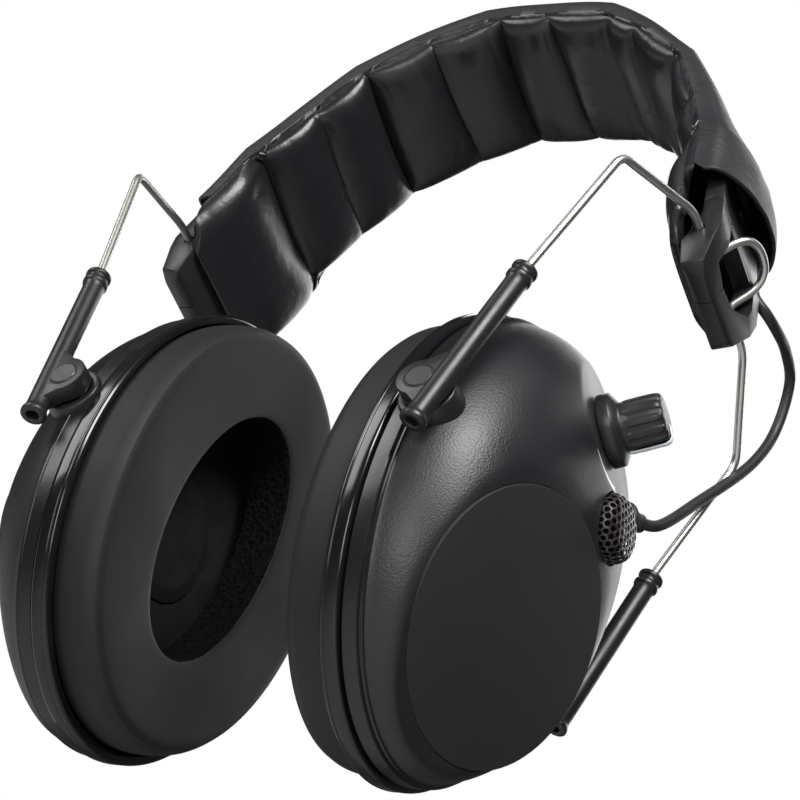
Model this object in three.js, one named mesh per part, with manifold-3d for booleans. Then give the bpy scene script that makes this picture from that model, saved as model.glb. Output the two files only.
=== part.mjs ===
// Electronic earmuff hearing protector: padded headband, folding wire yokes, sliding
// sleeves, pivoting ear cups, volume knob, microphone and a snap-on battery cover.
// Millimetres, +Z up, +X toward the wearer's right, +Y toward the wearer's front.
// The origin is the inside of the headband at the crown, where it rests on the head.
import * as THREE from 'three';
import { mergeVertices } from 'three/addons/utils/BufferGeometryUtils.js';
import Module from 'manifold-3d';

const wasm = await Module();
wasm.setup();

// Driving dimensions.
const GAP = 0.3;

// Headband: right half of the centre line in the XZ plane, crown first.
const ARCH = [[0, 5.5], [14.5, 4.1], [31, -3.2], [44.5, -16.2], [55, -33], [61.2, -50], [65.2, -66], [67.7, -76]];
const BAND_HALF_WIDTH = 19;
const BAND_HALF_THICK = 5.2;
const COVER_WALL = 1.2;
const ARCH_STEPS = 21;

// Brackets: the wire axis, and the lean of the band's end from the vertical.
const HINGE_X = 67.4;
const HINGE_Z = -77.4;
const BRACKET_LEAN = THREE.MathUtils.degToRad(14);
const BRACKET_BACK = -4;
const BRACKET_FRONT = 5;
const BRACKET_SLOPE = THREE.MathUtils.degToRad(19.9);

// Wire yokes.
const WIRE_RADIUS = 0.95;
const YOKE_HALF_SPAN = 45.1;
const LOOP_HALF_WIDTH = 7.2;
const LOOP_OUT = 10;
const LOOP_UP = 5.5;
const BEND_X = 59.5;
const BEND_Z = -89.2;

// Sliding sleeves on the yokes.
const SLEEVE_TOP_X = 53.6;
const SLEEVE_TOP_Z = -124.8;
const SLEEVE_LENGTH = 45.8;
const SLEEVE_RADIUS = 2.4;
const FLANGE_RADIUS = 2.8;
const BORE_RADIUS = 1.3;
const WIRE_IN_SLEEVE = 15;

// Ear cups: each is drawn in its own frame, x outward from the front of the rim.
const CUP_X = 32.8;
const CUP_Z = -160.4;
const PIVOT_X = 10.8;
const PIVOT_Z = 1.8;
const LUG_INNER_Y = 42.7;
const LUG_OUTER_Y = 46.8;
const PIN_HEAD_RADIUS = 3.05;
const PIN_RADIUS = 1.9;
const CUP_HALF_HEIGHT = 54.3;
const CUP_HALF_WIDTH = 40.8;
const DOME_HEIGHT = 30.6;
const DOME_POWER = 2.76;
const WALL = 2.2;
const CUP_SIDES = 24;

// The two flats on a cup: the lower one carries the panel, the upper one the knob.
const PANEL_TILT = THREE.MathUtils.degToRad(-16.8);
const PANEL_X = 22.1;
const PANEL_Z = -22.1;
const PANEL_THICK = 1.8;
const FACET_TILT = THREE.MathUtils.degToRad(22);
const FACET_X = 24.7;
const FACET_Z = 33.6;
const KNOB_Y = -1.2;
const MIC_X = 27.3;
const MIC_Y = 9.2;
const MIC_Z = 15.5;
const MIC_TILT = THREE.MathUtils.degToRad(6);
const GLAND = [20.6, 25.2, 33.6];
const GLAND_AXIS = [0.45, 0.72, 0.53];

// Link cable from the right cup to the band, and inside the band.
const CABLE_RADIUS = 1.3;
const BAND_CABLE_RADIUS = 1.15;

const material = (color, roughness, metalness = 0) =>
  new THREE.MeshStandardMaterial({ color, roughness, metalness });
const LEATHERETTE = material(0x161618, 0.45);
const FOAM = material(0x2a2a2c, 0.95);
const SPRING_STEEL = material(0x9a9a98, 0.35, 1);
const STAINLESS = material(0xb9b6b0, 0.22, 1);
const SATIN_PLASTIC = material(0x1b1b1d, 0.5);
const GLOSS_PLASTIC = material(0x0c0c0e, 0.12);
const MATTE_PLASTIC = material(0x232326, 0.7);
const CUSHION_SKIN = material(0x1e1e21, 0.75);
const CABLE_RUBBER = material(0x17171a, 0.6);
const BOARD_GREEN = material(0x1d4a30, 0.6);
const POINTER_WHITE = material(0xe6ebee, 0.5);
const CELL_JACKET = material(0x4a4d52, 0.4);

const SIDE_VIEW = new THREE.Matrix4().makeBasis(
  new THREE.Vector3(0, 1, 0),
  new THREE.Vector3(0, 0, 1),
  new THREE.Vector3(1, 0, 0),
);

function solidOf(geometry) {
  let bare = geometry.clone();
  bare.deleteAttribute('normal');
  bare.deleteAttribute('uv');
  bare = mergeVertices(bare, 1e-4);
  const mesh = new wasm.Mesh({
    numProp: 3,
    vertProperties: new Float32Array(bare.attributes.position.array),
    triVerts: new Uint32Array(bare.index.array),
  });
  return new wasm.Manifold(mesh);
}

function geometryOf(solid) {
  const mesh = solid.getMesh();
  const geometry = new THREE.BufferGeometry();
  geometry.setAttribute('position', new THREE.BufferAttribute(new Float32Array(mesh.vertProperties), 3));
  geometry.setIndex(new THREE.BufferAttribute(new Uint32Array(mesh.triVerts), 1));
  geometry.computeVertexNormals();
  return geometry;
}

function cut(base, ...tools) {
  return geometryOf(tools.reduce((left, tool) => left.subtract(solidOf(tool)), solidOf(base)));
}

function join(base, ...others) {
  return geometryOf(others.reduce((sum, other) => sum.add(solidOf(other)), solidOf(base)));
}

function common(base, ...others) {
  return geometryOf(others.reduce((sum, other) => sum.intersect(solidOf(other)), solidOf(base)));
}

// The mirror image across the YZ plane, with its faces turned to point out again.
function mirrored(geometry) {
  const flipped = geometry.index ? geometry.toNonIndexed() : geometry.clone();
  const position = flipped.attributes.position;
  for (let i = 0; i < position.count; i += 3) {
    const [ax, ay, az] = [position.getX(i), position.getY(i), position.getZ(i)];
    const [bx, by, bz] = [position.getX(i + 1), position.getY(i + 1), position.getZ(i + 1)];
    const [cx, cy, cz] = [position.getX(i + 2), position.getY(i + 2), position.getZ(i + 2)];
    position.setXYZ(i, -ax, ay, az);
    position.setXYZ(i + 1, -cx, cy, cz);
    position.setXYZ(i + 2, -bx, by, bz);
  }
  flipped.computeVertexNormals();
  return flipped;
}

function box(sizeX, sizeY, sizeZ, x, y, z) {
  return new THREE.BoxGeometry(sizeX, sizeY, sizeZ).translate(x, y, z);
}

// A round bar from one point to another.
function bar(from, to, radius, sides = 16) {
  const start = new THREE.Vector3(...from);
  const end = new THREE.Vector3(...to);
  const axis = end.clone().sub(start);
  const length = axis.length();
  const turn = new THREE.Quaternion().setFromUnitVectors(new THREE.Vector3(0, 1, 0), axis.normalize());
  const geometry = new THREE.CylinderGeometry(radius, radius, length, sides);
  geometry.applyQuaternion(turn);
  const middle = start.add(end).multiplyScalar(0.5);
  return geometry.translate(middle.x, middle.y, middle.z);
}

// A solid of revolution about +X from [x, radius] pairs, flattened in Y.
function turned(profile, sides, widthRatio = 1) {
  const points = profile.map(([x, radius]) => new THREE.Vector2(radius, x));
  const geometry = new THREE.LatheGeometry(points, sides);
  geometry.rotateZ(-Math.PI / 2);
  geometry.scale(1, widthRatio, 1);
  return outward(geometry);
}

// Turns every face over when the body's volume comes out negative.
function outward(geometry) {
  const flat = geometry.index ? geometry.toNonIndexed() : geometry;
  const p = flat.attributes.position;
  const a = new THREE.Vector3();
  const b = new THREE.Vector3();
  const c = new THREE.Vector3();
  let volume = 0;
  for (let i = 0; i < p.count; i += 3) {
    a.fromBufferAttribute(p, i);
    b.fromBufferAttribute(p, i + 1);
    c.fromBufferAttribute(p, i + 2);
    volume += a.dot(b.cross(c));
  }
  if (volume > 0) return flat;
  const back = mirrored(flat);
  return back.scale(-1, 1, 1);
}

function ellipse(halfWidth, halfHeight, sides = CUP_SIDES) {
  const shape = new THREE.Shape();
  for (let i = 0; i < sides; i += 1) {
    const angle = (i / sides) * 2 * Math.PI;
    const point = [halfWidth * Math.cos(angle), halfHeight * Math.sin(angle)];
    if (i === 0) shape.moveTo(...point);
    else shape.lineTo(...point);
  }
  shape.closePath();
  return shape;
}

// A flat piece whose outline is drawn in (Y, Z) and which runs along +X.
function plate(shape, depth, x, options = {}) {
  const geometry = new THREE.ExtrudeGeometry(shape, { depth, bevelEnabled: false, ...options });
  geometry.applyMatrix4(SIDE_VIEW);
  return geometry.translate(x, 0, 0);
}

function roundedBox(halfWidth, low, high, radius) {
  const shape = new THREE.Shape();
  shape.moveTo(-halfWidth + radius, low);
  shape.lineTo(halfWidth - radius, low);
  shape.quadraticCurveTo(halfWidth, low, halfWidth, low + radius);
  shape.lineTo(halfWidth, high - radius);
  shape.quadraticCurveTo(halfWidth, high, halfWidth - radius, high);
  shape.lineTo(-halfWidth + radius, high);
  shape.quadraticCurveTo(-halfWidth, high, -halfWidth, high - radius);
  shape.lineTo(-halfWidth, low + radius);
  shape.quadraticCurveTo(-halfWidth, low, -halfWidth + radius, low);
  return shape;
}

function polygon(points) {
  const shape = new THREE.Shape();
  shape.moveTo(...points[0]);
  points.slice(1).forEach((point) => shape.lineTo(...point));
  shape.closePath();
  return shape;
}

function circle(radius, sides, x = 0, y = 0) {
  const points = [];
  for (let i = 0; i < sides; i += 1) {
    const angle = (i / sides) * 2 * Math.PI;
    points.push([x + radius * Math.cos(angle), y + radius * Math.sin(angle)]);
  }
  return polygon(points);
}

// A path through points, its corners rounded by the given distance.
function bentPath(points, rounding) {
  const path = new THREE.CurvePath();
  let start = points[0];
  for (let i = 1; i < points.length - 1; i += 1) {
    const before = points[i].clone().add(start.clone().sub(points[i]).setLength(rounding[i]));
    const after = points[i].clone().add(points[i + 1].clone().sub(points[i]).setLength(rounding[i]));
    path.add(new THREE.LineCurve3(start, before));
    path.add(new THREE.QuadraticBezierCurve3(before, points[i], after));
    start = after;
  }
  path.add(new THREE.LineCurve3(start, points[points.length - 1]));
  return path;
}

function tube(path, radius, steps, sides = 8) {
  return new THREE.ExtrudeGeometry(circle(radius, sides), { steps, extrudePath: path });
}

const root = new THREE.Group();
root.name = 'earmuff';

function add(name, geometry, look, parent = root) {
  const mesh = new THREE.Mesh(geometry, look);
  mesh.name = name;
  parent.add(mesh);
  return mesh;
}

// ---------------------------------------------------------------- headband

const archPoints = [
  ...ARCH.slice(1).reverse().map(([x, z]) => new THREE.Vector3(-x, 0, z)),
  ...ARCH.map(([x, z]) => new THREE.Vector3(x, 0, z)),
];
const archCurve = new THREE.CatmullRomCurve3(archPoints, false, 'centripetal');

// The part of the arch between its two ends, each shortened by a share of the whole.
class ArchSpan extends THREE.Curve {
  constructor(trim) {
    super();
    this.trim = trim;
  }

  getPoint(t, target = new THREE.Vector3()) {
    return target.copy(archCurve.getPointAt(this.trim + t * (1 - 2 * this.trim)));
  }
}

const archLength = archCurve.getLength();
const coverSpan = new ArchSpan(11.2 / archLength);
const foamSpan = new ArchSpan(12.4 / archLength);
const springSpan = new ArchSpan(14.5 / archLength);

const coverSection = roundedBox(BAND_HALF_WIDTH, -BAND_HALF_THICK, BAND_HALF_THICK, 4.4);
const cavity = BAND_HALF_THICK - COVER_WALL;
coverSection.holes.push(roundedBox(BAND_HALF_WIDTH - COVER_WALL, -cavity, cavity, 3));
add(
  'headband_cover',
  new THREE.ExtrudeGeometry(coverSection, { steps: ARCH_STEPS, extrudePath: coverSpan, curveSegments: 2 }),
  LEATHERETTE,
);
add(
  'headband_foam',
  new THREE.ExtrudeGeometry(roundedBox(17.2, -0.5, 3.6, 1.6), {
    steps: ARCH_STEPS,
    extrudePath: foamSpan,
    curveSegments: 2,
  }),
  FOAM,
);
const springSection = polygon([[-12, -1.9], [12, -1.9], [12, -0.9], [-12, -0.9]]);
const springStrip = new THREE.ExtrudeGeometry(springSection, { steps: ARCH_STEPS, extrudePath: springSpan });

// The bracket frame: x outward across the band's end, z up along it, origin on the wire axis.
function bracketMatrix() {
  const lean = new THREE.Matrix4().makeRotationY(-BRACKET_LEAN);
  return new THREE.Matrix4().makeTranslation(HINGE_X, 0, HINGE_Z).multiply(lean);
}

function atBracket(geometry) {
  return geometry.applyMatrix4(bracketMatrix());
}

const RIVET_Z = 22;
const rivetHole = atBracket(bar([-1, 0, RIVET_Z], [7, 0, RIVET_Z], 2.1, 12));
add('headband_spring', cut(springStrip, rivetHole, mirrored(rivetHole)), SPRING_STEEL);

const bandCableSpan = new ArchSpan(16 / archLength);
const bandCableSection = circle(BAND_CABLE_RADIUS, 8, -14.7, -2.45);
add(
  'band_cable',
  new THREE.ExtrudeGeometry(bandCableSection, { steps: ARCH_STEPS, extrudePath: bandCableSpan }),
  CABLE_RUBBER,
);

// ---------------------------------------------------------------- brackets and wires

function bracketGeometry() {
  const outline = polygon([
    [-18.5, -2.5], [-8, -11.5], [8, -11.5], [18.5, -2.5], [18.5, 3], [10, 11], [-10, 11], [-18.5, 3],
  ]);
  const bevel = 1.2;
  const body = plate(outline, BRACKET_FRONT - BRACKET_BACK - 2 * bevel, BRACKET_BACK + bevel, {
    bevelEnabled: true,
    bevelThickness: bevel,
    bevelSize: bevel,
    bevelOffset: -bevel,
    bevelSegments: 1,
  });
  const tongue = box(1, 18, 22, 3.2, 0, 19);
  const shoulder = box(3, 18, 3.4, 2.2, 0, 10.6);
  const window = plate(
    polygon([
      [-9.7, -5.4], [-3.8, -6.9], [3, -6.4], [9.4, -1.9], [9.4, 8.7], [-9.7, 8.7],
    ]),
    12,
    BRACKET_BACK + 1.5,
  );
  const wireHole = bar([0, -25, 0], [0, 25, 0], WIRE_RADIUS + GAP + 0.1, 16);
  const hole = bar([-1, 0, RIVET_Z], [7, 0, RIVET_Z], 2.1, 12);
  const slope = box(8, 50, 40, 4, 0, 0).rotateY(BRACKET_SLOPE).translate(2.65, 0, -6.5);
  return cut(join(body, tongue, shoulder), window, slope, wireHole, hole);
}

// The yoke wire: sleeve, bend, bracket, crank loop, and the same again on the other side.
function wireGeometry() {
  const down = new THREE.Vector3(SLEEVE_TOP_X - BEND_X, 0, SLEEVE_TOP_Z - BEND_Z).normalize();
  const half = [
    new THREE.Vector3(SLEEVE_TOP_X, YOKE_HALF_SPAN, SLEEVE_TOP_Z).addScaledVector(down, WIRE_IN_SLEEVE),
    new THREE.Vector3(BEND_X, YOKE_HALF_SPAN, BEND_Z),
    new THREE.Vector3(HINGE_X, 20.5, HINGE_Z),
    new THREE.Vector3(HINGE_X, LOOP_HALF_WIDTH, HINGE_Z),
    new THREE.Vector3(LOOP_OUT, LOOP_HALF_WIDTH, LOOP_UP).applyMatrix4(bracketMatrix()),
  ];
  const otherHalf = half.map((point) => new THREE.Vector3(point.x, -point.y, point.z)).reverse();
  const rounding = [0, 3.5, 3, 2.2, 6.4, 6.4, 2.2, 3, 3.5, 0];
  return tube(bentPath([...half, ...otherHalf], rounding), WIRE_RADIUS, 76, 6);
}

// ---------------------------------------------------------------- sleeves and pivot pins

function pivotPoint(y) {
  return [CUP_X + PIVOT_X, y, CUP_Z + PIVOT_Z];
}

function sleeveGeometry() {
  const down = new THREE.Vector3(SLEEVE_TOP_X - BEND_X, 0, SLEEVE_TOP_Z - BEND_Z).normalize();
  const top = new THREE.Vector3(SLEEVE_TOP_X, YOKE_HALF_SPAN, SLEEVE_TOP_Z);
  const along = (distance) => top.clone().addScaledVector(down, distance).toArray();
  const [pivotX, , pivotZ] = pivotPoint(0);
  const barrel = bar(along(0), along(SLEEVE_LENGTH), SLEEVE_RADIUS, 10);
  const collars = [
    bar(along(0), along(1.3), FLANGE_RADIUS, 10),
    bar(along(2.6), along(3.9), FLANGE_RADIUS, 10),
    bar(along(SLEEVE_LENGTH - 1.4), along(SLEEVE_LENGTH), FLANGE_RADIUS, 10),
  ];
  const upper = along(25.5);
  const lower = along(SLEEVE_LENGTH - 3);
  const round = [];
  for (let i = 0; i <= 6; i += 1) {
    const angle = Math.PI * (0.52 + (i / 6) * 0.92);
    round.push([pivotX + 4.9 * Math.cos(angle), pivotZ + 4.9 * Math.sin(angle)]);
  }
  const outline = polygon([[upper[0], upper[2]], ...round, [lower[0], lower[2]]]);
  const lug = outward(
    new THREE.ExtrudeGeometry(outline, { depth: LUG_OUTER_Y - LUG_INNER_Y, bevelEnabled: false })
      .rotateX(Math.PI / 2)
      .translate(0, LUG_OUTER_Y, 0),
  );
  const bore = bar(along(-5), along(SLEEVE_LENGTH + 5), BORE_RADIUS, 8);
  const pinHole = bar([pivotX, 40, pivotZ], [pivotX, 50, pivotZ], PIN_RADIUS + GAP, 12);
  const headHole = bar([pivotX, 44.5, pivotZ], [pivotX, 50, pivotZ], PIN_HEAD_RADIUS + GAP, 16);
  return cut(join(barrel, ...collars, lug), bore, pinHole, headHole);
}

function pinGeometry() {
  const [x, , z] = pivotPoint(0);
  return join(
    bar([x, 36.5, z], [x, 45.5, z], PIN_RADIUS, 16),
    bar([x, 44.8, z], [x, LUG_OUTER_Y, z], PIN_HEAD_RADIUS, 16),
  );
}

// The other end of a sleeve pair: the same piece turned front to back.
function toRear(geometry) {
  return mirrored(geometry.clone()).rotateZ(Math.PI);
}

// ---------------------------------------------------------------- ear cups

function domeProfile(inset) {
  const profile = [];
  const heights = [0, 8, 13, 18, 22.5, 26.2, 29];
  heights.forEach((x) => {
    const share = (1 - (x / DOME_HEIGHT) ** DOME_POWER) ** (1 / DOME_POWER);
    profile.push([x, CUP_HALF_HEIGHT * share - inset]);
  });
  return profile.filter(([, radius]) => radius > 2);
}

// A half space bounded by one of the cup's flats, as a large box, moved in by an inset.
function behindFlat(x, z, tilt, inset) {
  const slab = box(80, 140, 160, -40 - inset, 0, 0);
  slab.rotateY(-tilt);
  return slab.translate(x, 0, z);
}

function domeSolid(inset, extra = 0) {
  const profile = domeProfile(inset).filter(([x]) => x >= 8);
  const skirt = CUP_HALF_HEIGHT + 0.5 - inset;
  const top = DOME_HEIGHT - inset;
  const points = [[4.6 - extra, 0], [4.6 - extra, skirt], [8.8, skirt], [9.2, profile[0][1]]];
  points.push(...profile.slice(1).filter(([x]) => x < top - 0.4), [top, 6], [top, 0]);
  return turned(points, CUP_SIDES, CUP_HALF_WIDTH / CUP_HALF_HEIGHT);
}

function atPanel(geometry) {
  return geometry.rotateY(-PANEL_TILT).translate(PANEL_X, 0, PANEL_Z);
}

function atFacet(geometry) {
  return geometry.rotateY(-FACET_TILT).translate(FACET_X, KNOB_Y, FACET_Z);
}

function atMic(geometry) {
  return geometry.rotateY(-MIC_TILT).translate(MIC_X, MIC_Y, MIC_Z);
}

function glandBar(from, to, radius, sides) {
  const axis = new THREE.Vector3(...GLAND_AXIS).normalize();
  const base = new THREE.Vector3(...GLAND);
  const start = base.clone().addScaledVector(axis, from).toArray();
  const end = base.clone().addScaledVector(axis, to).toArray();
  return bar(start, end, radius, sides);
}

function shellGeometry(isRight) {
  const outer = common(
    domeSolid(0),
    behindFlat(PANEL_X, PANEL_Z, PANEL_TILT, PANEL_THICK + GAP),
    behindFlat(FACET_X, FACET_Z, FACET_TILT, 0),
  );
  const inner = common(
    domeSolid(WALL, 3),
    behindFlat(PANEL_X, PANEL_Z, PANEL_TILT, PANEL_THICK + GAP + WALL),
    behindFlat(FACET_X, FACET_Z, FACET_TILT, WALL),
  );
  const micSeat = atMic(bar([-2.6, 0, 0], [0.6, 0, 0], 7.6, 16));
  const bosses = [-1, 1].map((side) =>
    bar([PIVOT_X, side * 36.4, PIVOT_Z], [PIVOT_X, side * 42.3, PIVOT_Z], 6.2, 16));
  const spigotRoom = [-1, 1].map((side) => box(7.5, 6, 20, 3.75, side * 36.4, PIVOT_Z));
  const boreEnds = [-1, 1].map((side) =>
    bar([PIVOT_X, side * 30, PIVOT_Z], [PIVOT_X, side * 50, PIVOT_Z], PIN_RADIUS + GAP, 12));
  const holes = [glandBar(-8, 0.2, 2.6, 12), glandBar(0, 12, 4.6, 12)];
  const raised = [...bosses];
  if (isRight) {
    raised.push(micSeat);
    holes.push(atMic(bar([-10, 0, 0], [3, 0, 0], 5.1, 12)));
    holes.push(atMic(bar([0.6, 0, 0], [6, 0, 0], 7.4, 16)));
    holes.push(atFacet(bar([-8, 0, 0], [3, 0, 0], 2.2, 10)));
    holes.push(atPanel(box(12, 50, 25, -4, 0, 8)));
  }
  return cut(join(cut(outer, inner), ...raised), ...spigotRoom, ...boreEnds, ...holes);
}

function rimGeometry() {
  const profile = [
    [0, 54.2], [0, 55.6], [0.5, 56], [3.8, 56], [4.3, 55.6], [4.3, 52.1], [7.2, 52.1],
    [7.2, 50.2], [4.3, 50.2], [4.3, 42], [2, 42], [2, 54.2], [0, 54.2],
  ];
  return turned(profile, CUP_SIDES, 42 / 56);
}

function cushionGeometry() {
  const bevel = 3.4;
  const shape = ellipse(40.2, 53);
  shape.holes.push(ellipse(18.4, 32));
  return plate(shape, 12.1 - 2 * bevel, -10.4 + bevel, {
    bevelEnabled: true,
    bevelThickness: bevel,
    bevelSize: bevel,
    bevelOffset: -bevel,
    bevelSegments: 2,
  });
}

function panelGeometry(isRight) {
  const slab = box(PANEL_THICK, 120, 120, -PANEL_THICK / 2, 0, 0);
  const panel = common(
    domeSolid(0),
    slab.rotateY(-PANEL_TILT).translate(PANEL_X, 0, PANEL_Z),
    behindFlat(FACET_X, FACET_Z, FACET_TILT, 1.2),
  );
  if (!isRight) return panel;
  const seatRoom = atMic(bar([-4, 0, 0], [6, 0, 0], 8, 16));
  const trimmed = cut(panel, seatRoom);
  const tabs = [-1, 1].map((side) => atPanel(box(2.6, 12, 1.4, -PANEL_THICK - 1.1, 0, 8 + side * 10.2)));
  return join(trimmed, ...tabs);
}

function baffleGeometry() {
  const shape = ellipse(36.8, 49.4);
  shape.holes.push(circle(15.6, 20));
  return plate(shape, 1.5, 4.7);
}

function speakerGeometry() {
  return turned([[3.6, 0], [3.6, 12], [4.4, 15.2], [6.4, 15.2], [7.4, 11], [10, 11], [10, 0]], 20);
}

function linerGeometry() {
  const shape = ellipse(34, 46);
  shape.holes.push(circle(17, 20));
  const liner = plate(shape, 3, 6.8);
  return cut(liner, atPanel(box(20, 53, 28, -10, 0, 8)));
}

function grilleGeometry() {
  const profile = [[0.9, 7], [3.2, 6.6], [4.6, 5], [5.2, 2.6], [5.3, 0], [4.4, 0], [4.3, 2.3], [3.8, 4.3], [2.6, 5.8], [0.9, 6.1], [0.9, 7]];
  return atMic(turned(profile, 16));
}

function capsuleGeometry() {
  return atMic(bar([-3.5, 0, 0], [3, 0, 0], 4.8, 20));
}

function glandGeometry() {
  return join(glandBar(-4, 0.6, 2.2, 8), glandBar(0.5, 1.6, 4.2, 12), glandBar(1.5, 5, 2.6, 12));
}

// The knob: a chamfered skirt and a fluted barrel on a shaft that runs into the control.
function knobGeometry() {
  const skirt = turned([[0.5, 0], [0.5, 7.7], [2.6, 7.7], [4, 5.6], [4, 0]], 20);
  const flutes = new THREE.Shape();
  const count = 10;
  for (let i = 0; i < count * 4; i += 1) {
    const angle = (i / (count * 4)) * 2 * Math.PI;
    const radius = i % 4 < 2 ? 5.1 : 4.7;
    const point = [radius * Math.cos(angle), radius * Math.sin(angle)];
    if (i === 0) flutes.moveTo(...point);
    else flutes.lineTo(...point);
  }
  flutes.closePath();
  const barrel = plate(flutes, 9.2, 3.6, {});
  const tip = turned([[12.6, 0], [12.6, 4.9], [13.4, 4.2], [13.4, 0]], 20);
  const shaft = bar([-6, 0, 0], [1, 0, 0], 1.6, 12);
  const slot = box(13, 2, 1.6, 8.9, 5.3, 0).rotateX(-0.7);
  return cut(join(skirt, barrel, tip, shaft), slot);
}

function pointerGeometry() {
  const strip = box(8.6, 0.8, 1, 8.6, 4.95, 0);
  return strip.rotateX(-0.7);
}

function potGeometry() {
  const body = bar([-9, 0, 0], [-3, 0, 0], 6, 20);
  const bore = bar([-7.5, 0, 0], [0, 0, 0], 1.9, 12);
  return cut(body, bore);
}

function trayGeometry() {
  const block = box(12.4, 49.2, 24.4, -2.4 - 6.2, 0, 8);
  const room = box(14, 46.6, 22.2, -2.4 - 5.2, 0, 8);
  return cut(block, room);
}

function cellGeometry(z) {
  const can = bar([-9.2, -21.6, z], [-9.2, 20.8, z], 5.1, 14);
  const nub = bar([-9.2, 20.6, z], [-9.2, 22.2, z], 1.9, 8);
  return join(can, nub);
}

function boardGeometry() {
  return box(1.6, 34, 26, 11.2, 0, 26.5);
}

// ---------------------------------------------------------------- assembly

function place(name, geometry, look, isRight, cupFrame) {
  const placed = cupFrame ? geometry.clone().translate(CUP_X, 0, CUP_Z) : geometry;
  add(name, isRight ? placed : mirrored(placed), look);
}

for (const side of ['right', 'left']) {
  const isRight = side === 'right';
  place(`${side}_bracket`, atBracket(bracketGeometry()), SATIN_PLASTIC, isRight, false);
  const rivet = atBracket(bar([1.6, 0, RIVET_Z], [3.6, 0, RIVET_Z], 1.8, 12));
  place(`${side}_rivet`, rivet, SPRING_STEEL, isRight, false);
  place(`${side}_yoke_wire`, wireGeometry(), STAINLESS, isRight, false);
  place(`${side}_sleeve_front`, sleeveGeometry(), SATIN_PLASTIC, isRight, false);
  place(`${side}_sleeve_rear`, toRear(sleeveGeometry()), SATIN_PLASTIC, isRight, false);
  place(`${side}_pivot_pin_front`, pinGeometry(), SATIN_PLASTIC, isRight, false);
  place(`${side}_pivot_pin_rear`, toRear(pinGeometry()), SATIN_PLASTIC, isRight, false);
  place(`${side}_cup_shell`, shellGeometry(isRight), SATIN_PLASTIC, isRight, true);
  place(`${side}_cup_rim`, rimGeometry(), GLOSS_PLASTIC, isRight, true);
  place(`${side}_ear_cushion`, cushionGeometry(), CUSHION_SKIN, isRight, true);
  place(`${side}_foam_liner`, linerGeometry(), FOAM, isRight, true);
  place(`${side}_baffle`, baffleGeometry(), MATTE_PLASTIC, isRight, true);
  place(`${side}_speaker`, speakerGeometry(), MATTE_PLASTIC, isRight, true);
  place(`${side}_cable_gland`, glandGeometry(), CABLE_RUBBER, isRight, true);
  place(isRight ? 'battery_cover' : 'left_panel', panelGeometry(isRight), MATTE_PLASTIC, isRight, true);
}
place('mic_grille', grilleGeometry(), SATIN_PLASTIC, true, true);
place('mic_capsule', capsuleGeometry(), MATTE_PLASTIC, true, true);
place('circuit_board', boardGeometry(), BOARD_GREEN, true, true);
place('volume_control', atFacet(potGeometry()), MATTE_PLASTIC, true, true);
place('volume_knob', atFacet(knobGeometry()), SATIN_PLASTIC, true, true);
place('knob_pointer', atFacet(pointerGeometry()), POINTER_WHITE, true, true);
place('battery_tray', atPanel(trayGeometry()), MATTE_PLASTIC, true, true);
place('battery_upper', atPanel(cellGeometry(13.4)), CELL_JACKET, true, true);
place('battery_lower', atPanel(cellGeometry(2.6)), CELL_JACKET, true, true);

// The link cable leaves the gland, loops forward and up, and enters the band's open end.
const glandAxis = new THREE.Vector3(...GLAND_AXIS).normalize();
const glandMouth = new THREE.Vector3(CUP_X, 0, CUP_Z)
  .add(new THREE.Vector3(...GLAND))
  .addScaledVector(glandAxis, 5.3);
const cablePoints = [
  glandMouth,
  glandMouth.clone().addScaledVector(glandAxis, 4),
  new THREE.Vector3(60.5, 40.2, -106),
  new THREE.Vector3(64.5, 50, -83),
  new THREE.Vector3(65.5, 52.2, -70),
  new THREE.Vector3(67, 47.5, -58.8),
  new THREE.Vector3(70, 36, -58),
  new THREE.Vector3(71.5, 26.5, -65.5),
  new THREE.Vector3(69.7, 19.2, -68.9),
  new THREE.Vector3(67.3, 14.9, -65.2),
  new THREE.Vector3(66.8, 14.7, -63.2),
];
const cablePath = new THREE.CatmullRomCurve3(cablePoints, false, 'centripetal');
add('link_cable', tube(cablePath, CABLE_RADIUS, 30, 8), CABLE_RUBBER);

export default root;
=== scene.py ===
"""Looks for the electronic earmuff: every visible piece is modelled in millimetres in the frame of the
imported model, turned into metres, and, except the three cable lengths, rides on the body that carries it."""
import math

import bmesh
import bpy
import numpy as np
from mathutils import Matrix, Vector


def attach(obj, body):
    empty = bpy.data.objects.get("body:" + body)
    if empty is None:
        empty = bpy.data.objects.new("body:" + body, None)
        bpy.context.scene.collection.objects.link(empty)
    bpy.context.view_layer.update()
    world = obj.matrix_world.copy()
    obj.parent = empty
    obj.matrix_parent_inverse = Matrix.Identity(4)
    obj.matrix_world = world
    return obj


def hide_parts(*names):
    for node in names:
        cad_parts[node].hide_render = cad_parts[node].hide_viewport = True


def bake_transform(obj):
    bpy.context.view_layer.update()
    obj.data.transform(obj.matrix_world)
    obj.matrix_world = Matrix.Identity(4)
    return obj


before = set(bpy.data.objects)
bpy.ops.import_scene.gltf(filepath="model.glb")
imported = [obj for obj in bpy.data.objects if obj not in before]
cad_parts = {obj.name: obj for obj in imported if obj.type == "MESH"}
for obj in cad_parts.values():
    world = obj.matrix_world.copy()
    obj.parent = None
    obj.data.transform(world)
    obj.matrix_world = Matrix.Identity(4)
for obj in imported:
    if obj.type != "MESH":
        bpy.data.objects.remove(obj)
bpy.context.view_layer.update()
scene = bpy.context.scene
MM = 0.001
SIDES = {"right": 1, "left": -1}

# ---------------------------------------------------------------- camera

CAMERA_AZIMUTH = math.radians(40.386)
CAMERA_ELEVATION = math.radians(-38.768)
CAMERA_ROLL = math.radians(28.742)
CAMERA_DISTANCE = 598.1 * MM
CAMERA_TARGET = Vector((2.58, 0.0, -116.23)) * MM
CAMERA_LENS = 120.06


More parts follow.
